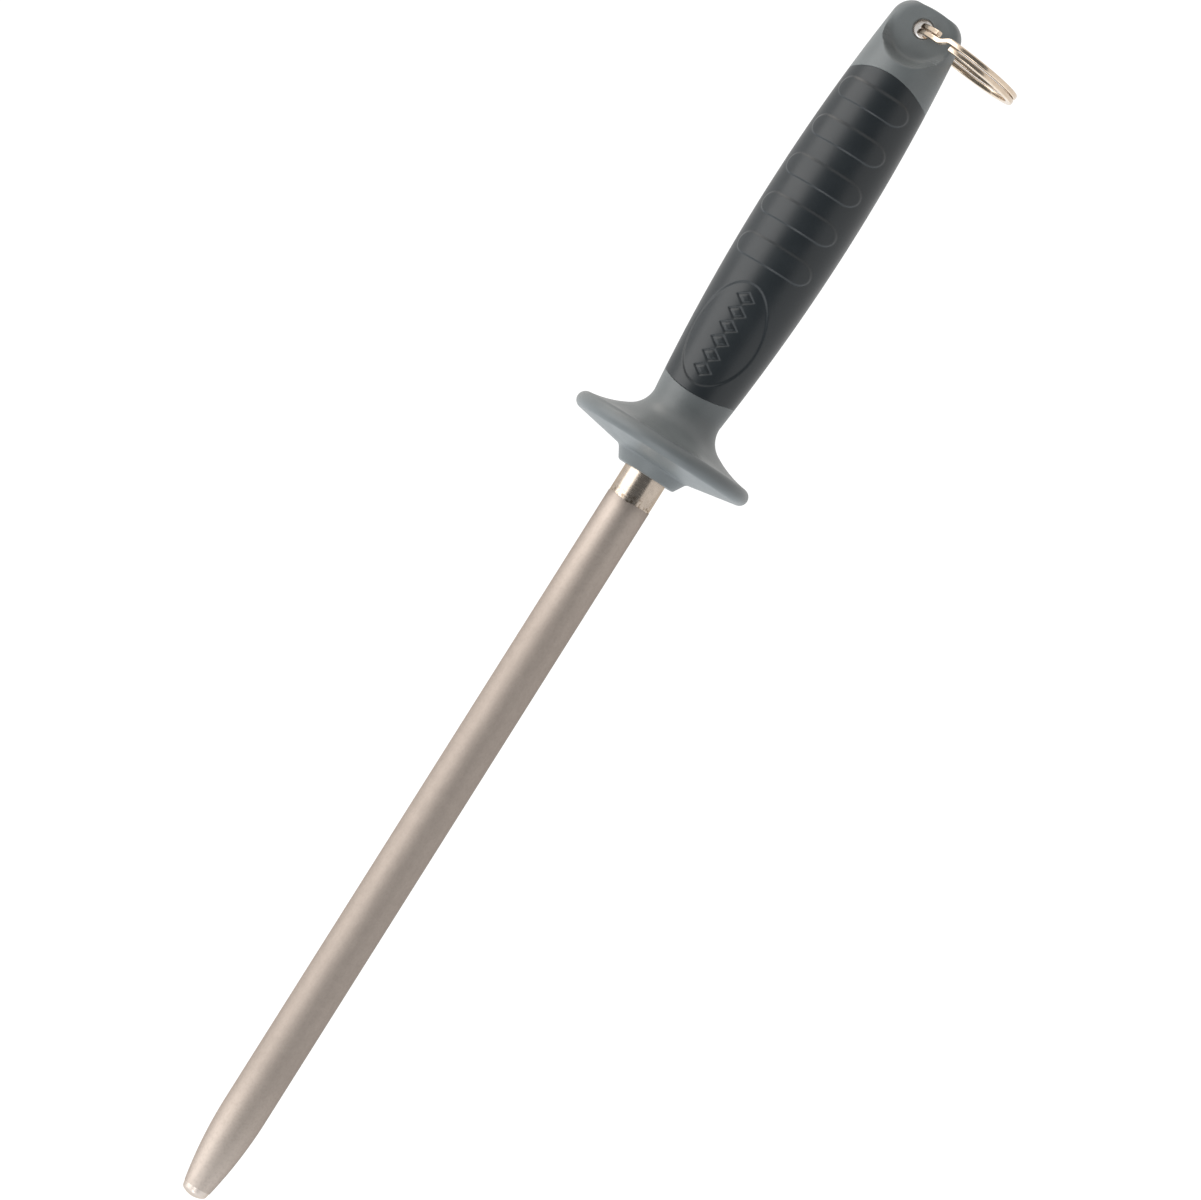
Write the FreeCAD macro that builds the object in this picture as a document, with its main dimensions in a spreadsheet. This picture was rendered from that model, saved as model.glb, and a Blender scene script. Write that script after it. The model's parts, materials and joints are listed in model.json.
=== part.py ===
import FreeCAD, Part
import math
import os
import Sketcher
from FreeCAD import Placement, Rotation, Vector

# A sharpening steel. +Z runs along the axis towards the butt of the handle, the
# origin is on the axis at the collar's end face, and the lanyard hole runs along Y.
# Millimetres throughout.

SIZES = {
    # rod: a steel tube with a closed, rounded point, and its abrasive layer
    "rod_reach": 228.6,
    "tube_radius": 6.25,
    "tube_wall": 1.5,
    "tube_socket": 45.0,
    "socket_radius": 6.0,
    "socket_ledge": 0.1,
    "coat_thickness": 0.1,
    "coat_top_gap": 8.0,
    "coat_tip_gap": 2.4,
    "point_length": 27.0,
    "point_arc": 123.0,
    "nose_arc": 6.0,
    "nose_round": 1.2,
    # what holds the rod inside the handle
    "tang_start": 12.0,
    "tang_plug_length": 36.0,
    "tang_length": 100.0,
    "tang_width": 8.0,
    "tang_depth": 3.6,
    "pin_radius": 1.5,
    "pin_length": 17.0,
    "pin_height": 32.0,
    # hard handle core: collar, guard, neck, belly and butt
    "collar_face_radius": 8.55,
    "collar_edge_round": 0.9,
    "collar_base_radius": 10.68,
    "collar_base_height": 3.6,
    "collar_base_round": 1.6,
    "rim_centre_radius": 24.5,
    "rim_centre_height": 8.6,
    "rim_nose": 2.4,
    "flare_outer_arc": 29.0,
    "flare_inner_arc": 7.4,
    "neck_radius": 10.3,
    "neck_height": 21.0,
    "belly_radius": 13.6,
    "belly_height": 82.0,
    "butt_radius": 9.95,
    "butt_height": 145.2,
    "butt_round": 6.0,
    "crown_height": 147.2,
    # soft grip moulded round the core
    "grip_bottom": 25.0,
    "grip_bottom_arc": 26.5,
    "grip_top": 125.25,
    "grip_top_arc": 23.5,
    "grip_wall": 2.4,
    "grip_zone_half": 16.0,
    "pad_first": 67.25,
    "pad_pitch": 12.4,
    "pad_rise": 6.9,
    "pad_half_span": 11.3,
    "pad_lift": 0.35,
    "oval_height": 42.97,
    "oval_half_long": 15.3,
    "oval_half_wide": 9.6,
    "oval_depth": 0.4,
    # lanyard hole, its metal liner and the split ring
    "hole_height": 140.75,
    "hole_radius": 2.8,
    "dish_floor": 5.0,
    "dish_radius": 9.1,
    "dish_mouth_radius": 12.3,
    "dish_cut": 10.0,
    "dish_round": 1.2,
    "liner_bore": 2.5,
    "liner_length": 9.2,
    "liner_round": 0.12,
    "ring_radius": 16.0,
    "ring_offset": 14.4,
    "ring_wire_wide": 1.8,
    "ring_wire_thick": 1.5,
    "ring_turn_pitch": 1.7,
    "ring_wire_round": 0.35,
    "ring_droop": 5.8,
    "ring_upper_end": 53.4,
    "ring_step_start": 58.0,
    "ring_step_end": 71.9,
    "ring_lower_end": 74.5,
}

PAD_COUNT = 5
NODES = (
    "rod_tube",
    "abrasive_coating",
    "tang",
    "tang_pin",
    "handle_core",
    "grip_sleeve",
    "lanyard_liner",
    "split_ring",
)


def make_sheet(doc):
    """The driving dimensions, one alias to a row."""
    sheet = doc.addObject("Spreadsheet::Sheet", "sizes")
    for row, (name, value) in enumerate(SIZES.items(), start=1):
        sheet.set(f"A{row}", name)
        sheet.set(f"B{row}", str(value))
        sheet.setAlias(f"B{row}", name)
    doc.recompute()
    return sheet


def bind(thing, **sizes):
    """Tie properties of a document object to expressions over the sheet."""
    for prop, expression in sizes.items():
        thing.setExpression(prop, expression)


class Outline:
    """A closed sketch drawn edge after edge, counter-clockwise, its sizes held by the sheet."""

    def __init__(self, body, name, role="XZ_Plane"):
        self.sketch = body.newObject("Sketcher::SketchObject", name)
        plane = next(p for p in body.Origin.OriginFeatures if p.Role == role)
        self.sketch.AttachmentSupport = [(plane, "")]
        self.sketch.MapMode = "FlatFace"
        self.edges = []
        self.names = 0

    def line(self, start, end):
        """A straight edge. Returns its place in the outline."""
        index = self.sketch.addGeometry(Part.LineSegment(Vector(*start, 0), Vector(*end, 0)), False)
        self.edges.append((index, 1, 2))
        return len(self.edges) - 1

    def arc(self, start, end, centre, clockwise=False):
        """A round edge about a centre. Returns its place in the outline."""
        first, last = (end, start) if clockwise else (start, end)
        radius = math.dist(start, centre)
        angles = [math.atan2(p[1] - centre[1], p[0] - centre[0]) for p in (first, last)]
        circle = Part.Circle(Vector(*centre, 0), Vector(0, 0, 1), radius)
        index = self.sketch.addGeometry(Part.ArcOfCircle(circle, angles[0], angles[1]), False)
        self.edges.append((index, 2, 1) if clockwise else (index, 1, 2))
        return len(self.edges) - 1

    def start_of(self, place):
        index, start, _ = self.edges[place]
        return index, start

    def end_of(self, place):
        index, _, end = self.edges[place]
        return index, end

    def centre_of(self, place):
        return self.edges[place][0], 3

    def join(self, smooth=()):
        """Close the loop. Joints listed by the edge before them are tangent."""
        for place, (index, _, end) in enumerate(self.edges):
            following, start, _ = self.edges[(place + 1) % len(self.edges)]
            kind = "Tangent" if place in smooth else "Coincident"
            self.sketch.addConstraint(Sketcher.Constraint(kind, index, end, following, start))

    def hold(self, kind, point, expression, value):
        """Fix a point's x or y from the origin to an expression over the sheet."""
        constraint = Sketcher.Constraint(kind, -1, 1, *point, value)
        self._bound(constraint, expression)

    def hold_point(self, point, x_size, y_size, sizes):
        self.hold("DistanceX", point, f"sizes.{x_size}", sizes[x_size])
        self.hold("DistanceY", point, f"sizes.{y_size}", sizes[y_size])

    def hold_radius(self, place, expression, value):
        self._bound(Sketcher.Constraint("Radius", self.edges[place][0], value), expression)

    def on_axis(self, point):
        self.sketch.addConstraint(Sketcher.Constraint("PointOnObject", *point, -2))

    def at_origin(self, point):
        self.sketch.addConstraint(Sketcher.Constraint("Coincident", *point, -1, 1))

    def _bound(self, constraint, expression):
        index = self.sketch.addConstraint(constraint)
        self.names += 1
        name = f"size_{self.names}"
        self.sketch.renameConstraint(index, name)
        self.sketch.setExpression(f"Constraints.{name}", expression)


def revolve(body, sketch):
    feature = body.newObject("PartDesign::Revolution", f"{body.Name}_turn")
    feature.Profile = sketch
    feature.ReferenceAxis = (sketch, ["V_Axis"])
    feature.Angle = 360
    return feature


def round_edges(body, base, name, chosen, size):
    """Fillet the edges of a PartDesign feature that a test picks out."""
    body.Document.recompute()
    edges = [f"Edge{i}" for i, edge in enumerate(base.Shape.Edges, start=1) if chosen(edge)]
    feature = body.newObject("PartDesign::Fillet", name)
    feature.Base = (base, edges)
    bind(feature, Radius=f"sizes.{size}")
    return feature


def is_ring(radius, height):
    """A test for a whole circle about the Z axis."""
    def test(edge):
        if edge.Degenerated or not isinstance(edge.Curve, Part.Circle):
            return False
        curve = edge.Curve
        return abs(curve.Radius - radius) < 0.01 and abs(curve.Center.z - height) < 0.01
    return test


def nose_corner(grown):
    """Where the point's long arc crosses the blunt nose's arc, both grown by the same amount."""
    tip = SIZES["rod_reach"]
    long_arc = SIZES["point_arc"] + grown
    nose_arc = SIZES["nose_arc"] + grown
    long_centre = (SIZES["tube_radius"] - SIZES["point_arc"], tip - SIZES["point_length"])
    nose_centre = (0, tip - SIZES["nose_arc"])
    gap = math.dist(long_centre, nose_centre)
    along = (long_arc ** 2 - nose_arc ** 2 + gap ** 2) / (2 * gap)
    across = math.sqrt(long_arc ** 2 - along ** 2)
    unit = ((nose_centre[0] - long_centre[0]) / gap, (nose_centre[1] - long_centre[1]) / gap)
    return (
        long_centre[0] + along * unit[0] - across * unit[1],
        long_centre[1] + along * unit[1] + across * unit[0],
    )


def rod_form(doc, name, skin, grown):
    """The rod turned about Z, its exposed length grown by skin. Drawn point up, then turned over.

    The length inside the handle is a little thinner, and its shoulder rests just inside the collar.
    """
    tip = SIZES["rod_reach"]
    radius = SIZES["tube_radius"] + grown
    inside = SIZES["socket_radius"]
    shelf = -SIZES["socket_ledge"]
    shoulder = tip - SIZES["point_length"]
    socket = -SIZES["tube_socket"]
    point_centre = (SIZES["tube_radius"] - SIZES["point_arc"], shoulder)
    corner = nose_corner(grown)
    end_point = (0, tip + grown)
    body = doc.addObject("PartDesign::Body", name)
    outline = Outline(body, f"{name}_outline")
    base = outline.line((0, socket), (inside, socket))
    wall = outline.line((inside, socket), (inside, shelf))
    ledge = outline.line((inside, shelf), (radius, shelf))
    side = outline.line((radius, shelf), (radius, shoulder))
    point = outline.arc((radius, shoulder), corner, point_centre)
    end = outline.arc(corner, end_point, (0, tip - SIZES["nose_arc"]))
    outline.line(end_point, (0, socket))
    outline.join(smooth=(side,))
    outline.on_axis(outline.start_of(base))
    outline.on_axis(outline.end_of(end))
    outline.on_axis(outline.centre_of(end))
    outline.hold("DistanceY", outline.start_of(base), "-sizes.tube_socket", socket)
    outline.hold("DistanceY", outline.end_of(base), "-sizes.tube_socket", socket)
    outline.hold("DistanceX", outline.end_of(base), "sizes.socket_radius", inside)
    outline.hold("DistanceX", outline.end_of(wall), "sizes.socket_radius", inside)
    for level in (outline.end_of(wall), outline.end_of(ledge)):
        outline.hold("DistanceY", level, "-sizes.socket_ledge", shelf)
    outline.hold("DistanceX", outline.end_of(ledge), f"sizes.tube_radius + {skin}", radius)
    outline.hold("DistanceX", outline.end_of(side), f"sizes.tube_radius + {skin}", radius)
    outline.hold("DistanceY", outline.end_of(side), "sizes.rod_reach - sizes.point_length", shoulder)
    outline.hold_radius(point, f"sizes.point_arc + {skin}", SIZES["point_arc"] + grown)
    outline.hold_radius(end, f"sizes.nose_arc + {skin}", SIZES["nose_arc"] + grown)
    outline.hold("DistanceY", outline.end_of(end), f"sizes.rod_reach + {skin}", tip + grown)
    turned = revolve(body, outline.sketch)
    round_edges(body, turned, f"{name}_nose", is_ring(*corner), "nose_round")
    body.Placement = Placement(Vector(), Rotation(Vector(1, 0, 0), 180))
    return body


def cylinder(doc, name, radius, length, base, direction=Vector(0, 0, 1)):
    """A Part cylinder with bound sizes, standing on base along a direction."""
    thing = doc.addObject("Part::Cylinder", name)
    bind(thing, Radius=radius, Height=length)
    thing.Placement = Placement(base, Rotation(Vector(0, 0, 1), direction))
    return thing


def fuse(doc, name, pieces):
    thing = doc.addObject("Part::MultiFuse", name)
    thing.Shapes = pieces
    return thing


def cut(doc, name, base, tool):
    thing = doc.addObject("Part::Cut", name)
    thing.Base = base
    thing.Tool = tool
    return thing


def common(doc, name, pieces):
    thing = doc.addObject("Part::MultiCommon", name)
    thing.Shapes = pieces
    return thing


def make_pin(doc):
    """Cross pin that locks the tang in the tube."""
    base = Vector(0, SIZES["pin_length"] / 2, SIZES["pin_height"])
    return cylinder(doc, "tang_pin", "sizes.pin_radius", "sizes.pin_length", base, Vector(0, -1, 0))


def make_rod_tube(doc, steel, pin):
    """Steel tube: the rod's form, bored out as far as the solid point."""
    start = Vector(0, 0, -SIZES["rod_reach"] + SIZES["point_length"])
    bore_radius = "sizes.tube_radius - sizes.tube_wall"
    bore_length = "sizes.rod_reach - sizes.point_length + sizes.tube_socket + 1"
    straight = cylinder(doc, "bore_straight", bore_radius, bore_length, start)
    round_end = doc.addObject("Part::Sphere", "bore_end")
    bind(round_end, Radius=bore_radius)
    round_end.Placement = Placement(start, Rotation())
    tools = fuse(doc, "tube_tools", [straight, round_end, pin])
    return cut(doc, "rod_tube", steel, tools)


def make_coating(doc, steel):
    """Abrasive layer: a thin skin from just under the collar to just short of the tip."""
    coated = rod_form(doc, "coated_form", "sizes.coat_thickness", SIZES["coat_thickness"])
    start = Vector(0, 0, -SIZES["rod_reach"] + SIZES["coat_tip_gap"])
    length = "sizes.rod_reach - sizes.coat_tip_gap - sizes.coat_top_gap"
    zone = cylinder(doc, "coat_zone", "2 * sizes.tube_radius", length, start)
    band = common(doc, "coat_band", [coated, zone])
    return cut(doc, "abrasive_coating", band, steel)


def make_tang(doc, pin):
    """Round plug pressed in the tube, drawn out into a flat bar along the handle."""
    plug = cylinder(doc, "tang_plug", "sizes.tube_radius - sizes.tube_wall", "sizes.tang_plug_length",
                    Vector(0, 0, SIZES["tang_start"]))
    bar = doc.addObject("Part::Box", "tang_bar")
    bind(bar, Length="sizes.tang_width", Width="sizes.tang_depth", Height="sizes.tang_length")
    bar.Placement = Placement(
        Vector(-SIZES["tang_width"] / 2, -SIZES["tang_depth"] / 2, SIZES["tang_start"]), Rotation()
    )
    blank = fuse(doc, "tang_blank", [plug, bar])
    return blank, cut(doc, "tang", blank, pin)


def rim_start(sizes):
    """Where the guard's underside meets the rim's nose, on a line from the collar."""
    across = sizes["rim_centre_radius"] - sizes["collar_base_radius"]
    up = sizes["rim_centre_height"] - sizes["collar_base_height"]
    slope = math.atan2(up, across) - math.asin(sizes["rim_nose"] / math.hypot(across, up))
    nose = sizes["rim_nose"]
    return (
        sizes["rim_centre_radius"] + nose * math.sin(slope),
        sizes["rim_centre_height"] - nose * math.cos(slope),
    )


def make_handle_form(doc):
    """The whole handle's outer form: collar, flared guard, neck, belly and butt."""
    s = SIZES
    rim_centre = (s["rim_centre_radius"], s["rim_centre_height"])
    rim_top = (rim_centre[0] + 0.13 * s["rim_nose"], rim_centre[1] + 0.99 * s["rim_nose"])
    outer_centre = (rim_top[0] + 0.13 * s["flare_outer_arc"], rim_top[1] + 0.99 * s["flare_outer_arc"])
    half = math.sqrt(3) / 2
    flare_mid = (
        outer_centre[0] - s["flare_outer_arc"] / 2,
        outer_centre[1] - s["flare_outer_arc"] * half,
    )
    neck = (s["neck_radius"], s["neck_height"])
    inner_centre = (neck[0] + s["flare_inner_arc"], neck[1])
    belly = (s["belly_radius"], s["belly_height"])
    butt = (s["butt_radius"], s["butt_height"])
    collar_face = (s["collar_face_radius"], 0)
    collar_base = (s["collar_base_radius"], s["collar_base_height"])
    crown = (0, s["crown_height"])

    body = doc.addObject("PartDesign::Body", "handle_form")
    outline = Outline(body, "handle_outline")
    face = outline.line((0, 0), collar_face)
    collar = outline.line(collar_face, collar_base)
    underside = outline.line(collar_base, rim_start(s))
    rim = outline.arc(rim_start(s), rim_top, rim_centre)
    flare_outer = outline.arc(rim_top, flare_mid, outer_centre, clockwise=True)
    flare_inner = outline.arc(flare_mid, neck, inner_centre, clockwise=True)
    belly_lower = outline.arc(neck, belly, bulge_centre(neck, belly))
    belly_upper = outline.arc(belly, butt, bulge_centre(butt, belly))
    end = outline.arc(butt, crown, crown_centre(butt, crown))
    outline.line(crown, (0, 0))
    outline.join(smooth=(underside, rim, flare_outer))
    outline.at_origin(outline.start_of(face))
    outline.hold("DistanceX", outline.end_of(face), "sizes.collar_face_radius", collar_face[0])
    outline.sketch.addConstraint(Sketcher.Constraint("Horizontal", outline.edges[face][0]))
    outline.hold_point(outline.end_of(collar), "collar_base_radius", "collar_base_height", s)
    outline.hold_point(outline.centre_of(rim), "rim_centre_radius", "rim_centre_height", s)
    outline.hold_radius(rim, "sizes.rim_nose", s["rim_nose"])
    outline.hold_radius(flare_outer, "sizes.flare_outer_arc", s["flare_outer_arc"])
    outline.hold_radius(flare_inner, "sizes.flare_inner_arc", s["flare_inner_arc"])
    outline.hold_point(outline.end_of(flare_inner), "neck_radius", "neck_height", s)
    outline.hold_point(outline.end_of(belly_lower), "belly_radius", "belly_height", s)
    outline.hold_point(outline.end_of(belly_upper), "butt_radius", "butt_height", s)
    for place in (belly_lower, belly_upper):
        outline.hold("DistanceY", outline.centre_of(place), "sizes.belly_height", s["belly_height"])
    outline.on_axis(outline.centre_of(end))
    outline.on_axis(outline.end_of(end))
    outline.hold("DistanceY", outline.end_of(end), "sizes.crown_height", s["crown_height"])

    turned = revolve(body, outline.sketch)
    edge = round_edges(body, turned, "collar_edge", is_ring(collar_face[0], 0), "collar_edge_round")
    base = round_edges(body, edge, "collar_base", is_ring(*collar_base), "collar_base_round")
    round_edges(body, base, "butt_corner", is_ring(*butt), "butt_round")
    return body


def bulge_centre(low, widest):
    """Centre, level with the widest point, of the arc from there to another point."""
    drop = widest[0] - low[0]
    rise = widest[1] - low[1]
    radius = (drop * drop + rise * rise) / (2 * drop)
    return widest[0] - radius, widest[1]


def crown_centre(edge, top):
    """Centre, on the axis, of the arc from an edge to the top."""
    sag = top[1] - edge[1]
    radius = (edge[0] ** 2 + sag ** 2) / (2 * sag)
    return 0, top[1] - radius


def belly_form(doc, name, sign, size):
    """The belly's form from the neck to the butt, moved in ("-") or out ("+") by a size."""
    shift = -SIZES[size] if sign == "-" else SIZES[size]
    neck = (SIZES["neck_radius"] + shift, SIZES["neck_height"])
    belly = (SIZES["belly_radius"] + shift, SIZES["belly_height"])
    butt = (SIZES["butt_radius"] + shift, SIZES["butt_height"])
    body = doc.addObject("PartDesign::Body", name)
    outline = Outline(body, f"{name}_outline")
    floor = outline.line((0, neck[1]), neck)
    lower = outline.arc(neck, belly, bulge_centre(neck, belly))
    upper = outline.arc(belly, butt, bulge_centre(butt, belly))
    lid = outline.line(butt, (0, butt[1]))
    outline.line((0, butt[1]), (0, neck[1]))
    outline.join()
    outline.on_axis(outline.start_of(floor))
    outline.on_axis(outline.end_of(lid))
    outline.hold("DistanceY", outline.start_of(floor), "sizes.neck_height", neck[1])
    outline.hold("DistanceY", outline.end_of(lid), "sizes.butt_height", butt[1])
    for place, radius, height in (
        (floor, "neck_radius", "neck_height"),
        (lower, "belly_radius", "belly_height"),
        (upper, "butt_radius", "butt_height"),
    ):
        point = outline.end_of(place)
        outline.hold("DistanceX", point, f"sizes.{radius} {sign} sizes.{size}", SIZES[radius] + shift)
        outline.hold("DistanceY", point, f"sizes.{height}", SIZES[height])
    for place in (lower, upper):
        outline.hold("DistanceY", outline.centre_of(place), "sizes.belly_height", belly[1])
    revolve(body, outline.sketch)
    return body


def make_grip_zone(doc):
    """A block whose bowed lower and upper faces are the ends of the soft grip."""
    s = SIZES
    half = s["grip_zone_half"]
    low_centre = (0, s["grip_bottom"] + s["grip_bottom_arc"])
    high_centre = (0, s["grip_top"] - s["grip_top_arc"])
    low_edge = low_centre[1] - math.sqrt(s["grip_bottom_arc"] ** 2 - half ** 2)
    high_edge = high_centre[1] + math.sqrt(s["grip_top_arc"] ** 2 - half ** 2)
    body = doc.addObject("PartDesign::Body", "grip_zone")
    outline = Outline(body, "grip_zone_outline")
    low = outline.arc((-half, low_edge), (half, low_edge), low_centre)
    right = outline.line((half, low_edge), (half, high_edge))
    high = outline.arc((half, high_edge), (-half, high_edge), high_centre)
    left = outline.line((-half, high_edge), (-half, low_edge))
    outline.join()
    outline.on_axis(outline.centre_of(low))
    outline.on_axis(outline.centre_of(high))
    outline.hold("DistanceY", outline.centre_of(low), "sizes.grip_bottom + sizes.grip_bottom_arc",
                 low_centre[1])
    outline.hold("DistanceY", outline.centre_of(high), "sizes.grip_top - sizes.grip_top_arc",
                 high_centre[1])
    outline.hold_radius(low, "sizes.grip_bottom_arc", s["grip_bottom_arc"])
    outline.hold_radius(high, "sizes.grip_top_arc", s["grip_top_arc"])
    for place, sign in ((right, ""), (left, "-")):
        side = outline.edges[place][0]
        outline.sketch.addConstraint(Sketcher.Constraint("Vertical", side))
        value = -half if sign else half
        outline.hold("DistanceX", outline.start_of(place), f"{sign}sizes.grip_zone_half", value)
    block = body.newObject("PartDesign::Pad", "grip_zone_block")
    block.Profile = outline.sketch
    block.Midplane = True
    bind(block, Length="4 * sizes.belly_radius")
    return body


def make_pad_bars(doc):
    """Five level bars with round ends, running through the grip from front to back."""
    reach = 4 * SIZES["belly_radius"]
    bars = []
    for index in range(PAD_COUNT):
        height = SIZES["pad_first"] + index * SIZES["pad_pitch"]
        run = SIZES["pad_half_span"] - SIZES["pad_rise"] / 2
        middle = doc.addObject("Part::Box", f"pad_{index}_middle")
        bind(middle, Length="2 * sizes.pad_half_span - sizes.pad_rise", Height="sizes.pad_rise",
             Width="4 * sizes.belly_radius")
        middle.Placement = Placement(Vector(-run, -reach / 2, height - SIZES["pad_rise"] / 2), Rotation())
        ends = [
            cylinder(doc, f"pad_{index}_end_{name}", "sizes.pad_rise / 2", "4 * sizes.belly_radius",
                     Vector(side * run, reach / 2, height), Vector(0, -1, 0))
            for name, side in (("left", -1), ("right", 1))
        ]
        bars.append(fuse(doc, f"pad_{index}", [middle, *ends]))
    return bars


def make_oval_bar(doc):
    """An upright oval bar through the grip, for the plain medallion on each side."""
    oval = doc.addObject("Part::Ellipse", "oval")
    bind(oval, MajorRadius="sizes.oval_half_long", MinorRadius="sizes.oval_half_wide")
    upright = Rotation(Vector(0, 0, 1), Vector(1, 0, 0), Vector(0, 1, 0), "ZXY")
    oval.Placement = Placement(Vector(0, 0, SIZES["oval_height"]), upright)
    bar = doc.addObject("Part::Extrusion", "oval_bar")
    bar.Base = oval
    bar.DirMode = "Custom"
    bar.Dir = Vector(0, 1, 0)
    bar.Solid = True
    bind(bar, LengthFwd="2 * sizes.belly_radius", LengthRev="2 * sizes.belly_radius")
    return bar


def make_grip(doc, form, zone, core):
    """Soft sleeve: the handle's form within the zone, less the core, its pads raised, its oval sunk."""
    blank = common(doc, "grip_blank", [form, zone])
    raised_form = belly_form(doc, "raised_form", "+", "pad_lift")
    pads = [common(doc, f"pad_{i}_raised", [bar, raised_form]) for i, bar in enumerate(make_pad_bars(doc))]
    padded = fuse(doc, "grip_padded", [blank, *pads])
    sunk_form = belly_form(doc, "sunk_form", "-", "oval_depth")
    oval = cut(doc, "oval_recess", make_oval_bar(doc), sunk_form)
    tools = fuse(doc, "grip_tools", [core, oval])
    return cut(doc, "grip_sleeve", padded, tools)


def make_dish(doc, name, side):
    """Cutter for the round recess about the lanyard hole, on one side of the butt."""
    cone = doc.addObject("Part::Cone", f"{name}_cone")
    bind(cone, Radius1="sizes.dish_radius", Radius2="sizes.dish_mouth_radius", Height="sizes.dish_cut")
    cone.Placement = Placement(
        Vector(0, side * SIZES["dish_floor"], SIZES["hole_height"]),
        Rotation(Vector(0, 0, 1), Vector(0, side, 0)),
    )
    doc.recompute()
    floor_edges = [
        index for index, edge in enumerate(cone.Shape.Edges, start=1)
        if isinstance(edge.Curve, Part.Circle) and math.isclose(edge.Curve.Radius, SIZES["dish_radius"])
    ]
    rounded = doc.addObject("Part::Fillet", name)
    rounded.Base = cone
    rounded.Edges = [(index, SIZES["dish_round"], SIZES["dish_round"]) for index in floor_edges]
    return rounded


def make_core(doc, form, zone, under_grip, tang_blank, pin):
    """Hard core: collar, guard, neck and butt in one piece with the stem under the grip."""
    groove = cut(doc, "grip_seat", zone, under_grip)
    socket = cylinder(doc, "rod_socket", "sizes.socket_radius", "sizes.tube_socket", Vector())
    mouth = cylinder(doc, "socket_mouth", "sizes.tube_radius", "sizes.socket_ledge", Vector())
    hole = cylinder(doc, "lanyard_hole", "sizes.hole_radius", "4 * sizes.belly_radius",
                    Vector(0, 2 * SIZES["belly_radius"], SIZES["hole_height"]), Vector(0, -1, 0))
    dishes = [make_dish(doc, "dish_front", -1), make_dish(doc, "dish_back", 1)]
    tools = fuse(doc, "core_tools", [groove, socket, mouth, hole, *dishes, tang_blank, pin])
    return cut(doc, "handle_core", form, tools)


def make_liner(doc):
    """Metal tube that lines the lanyard hole, sunk just below the dish floors."""
    body = doc.addObject("PartDesign::Body", "lanyard_liner")
    sketch = body.newObject("Sketcher::SketchObject", "liner_rings")
    plane = next(p for p in body.Origin.OriginFeatures if p.Role == "XZ_Plane")
    sketch.AttachmentSupport = [(plane, "")]
    sketch.MapMode = "FlatFace"
    for size in ("hole_radius", "liner_bore"):
        circle = sketch.addGeometry(Part.Circle(Vector(), Vector(0, 0, 1), SIZES[size]), False)
        sketch.addConstraint(Sketcher.Constraint("Coincident", circle, 3, -1, 1))
        radius = sketch.addConstraint(Sketcher.Constraint("Radius", circle, SIZES[size]))
        sketch.renameConstraint(radius, size)
        sketch.setExpression(f"Constraints.{size}", f"sizes.{size}")
    tube = body.newObject("PartDesign::Pad", "liner_tube")
    tube.Profile = sketch
    tube.Midplane = True
    bind(tube, Length="sizes.liner_length")
    round_edges(body, tube, "liner_mouths", lambda edge: isinstance(edge.Curve, Part.Circle), "liner_round")
    body.Placement = Placement(Vector(0, 0, SIZES["hole_height"]), Rotation())
    return body


def wire_section(angle, level):
    """The ring wire's rounded section, at an angle round the ring and a level along its axis."""
    half_wide = SIZES["ring_wire_wide"] / 2
    half_thick = SIZES["ring_wire_thick"] / 2
    mean = SIZES["ring_radius"] - half_wide
    soft = SIZES["ring_wire_round"]
    corners = [(-1, -1), (1, -1), (1, 1), (-1, 1)]
    edges = []
    previous = None
    for across, up in corners:
        centre = (mean + across * (half_wide - soft), level + up * (half_thick - soft))
        begin = math.atan2(up, across) - math.pi / 4
        marks = [
            Vector(centre[0] + soft * math.cos(begin + turn), 0, centre[1] + soft * math.sin(begin + turn))
            for turn in (0, math.pi / 4, math.pi / 2)
        ]
        if previous is not None:
            edges.append(Part.LineSegment(previous, marks[0]).toShape())
        edges.append(Part.Arc(*marks).toShape())
        previous = marks[2]
        if (across, up) == corners[0]:
            first = marks[0]
    edges.append(Part.LineSegment(previous, first).toShape())
    wire = Part.Wire(edges)
    wire.rotate(Vector(), Vector(0, 0, 1), angle)
    return wire


def make_split_ring(doc):
    """Two flat turns of wire, one on the other, joined by a short step beside the free ends."""
    lower = -SIZES["ring_turn_pitch"] / 2
    upper = SIZES["ring_turn_pitch"] / 2
    step_start = SIZES["ring_step_start"]
    step_end = SIZES["ring_step_end"]
    axis = Vector(0, 0, 1)
    lower_turn = Part.Face(wire_section(SIZES["ring_lower_end"], lower)).revolve(
        Vector(), axis, 360 + step_start - SIZES["ring_lower_end"]
    )
    upper_turn = Part.Face(wire_section(step_end, upper)).revolve(
        Vector(), axis, 360 + SIZES["ring_upper_end"] - step_end
    )
    stations = 6
    sections = []
    for index in range(stations + 1):
        part = index / stations
        level = lower + (upper - lower) * (1 - math.cos(math.pi * part)) / 2
        sections.append(wire_section(step_start + (step_end - step_start) * part, level))
    step = Part.makeLoft(sections, True, False)
    ring = lower_turn.fuse([step, upper_turn]).removeSplitter()
    # angles run from the wire in the hole, by the front, to the far side
    ring.rotate(Vector(), axis, 180)
    ring.translate(Vector(SIZES["ring_offset"], 0, 0))
    ring.rotate(Vector(), Vector(0, 1, 0), SIZES["ring_droop"])
    thing = doc.addObject("Part::Feature", "split_ring")
    thing.Shape = ring
    thing.Placement = Placement(Vector(0, 0, SIZES["hole_height"]), Rotation()).multiply(ring.Placement)
    return thing


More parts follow.
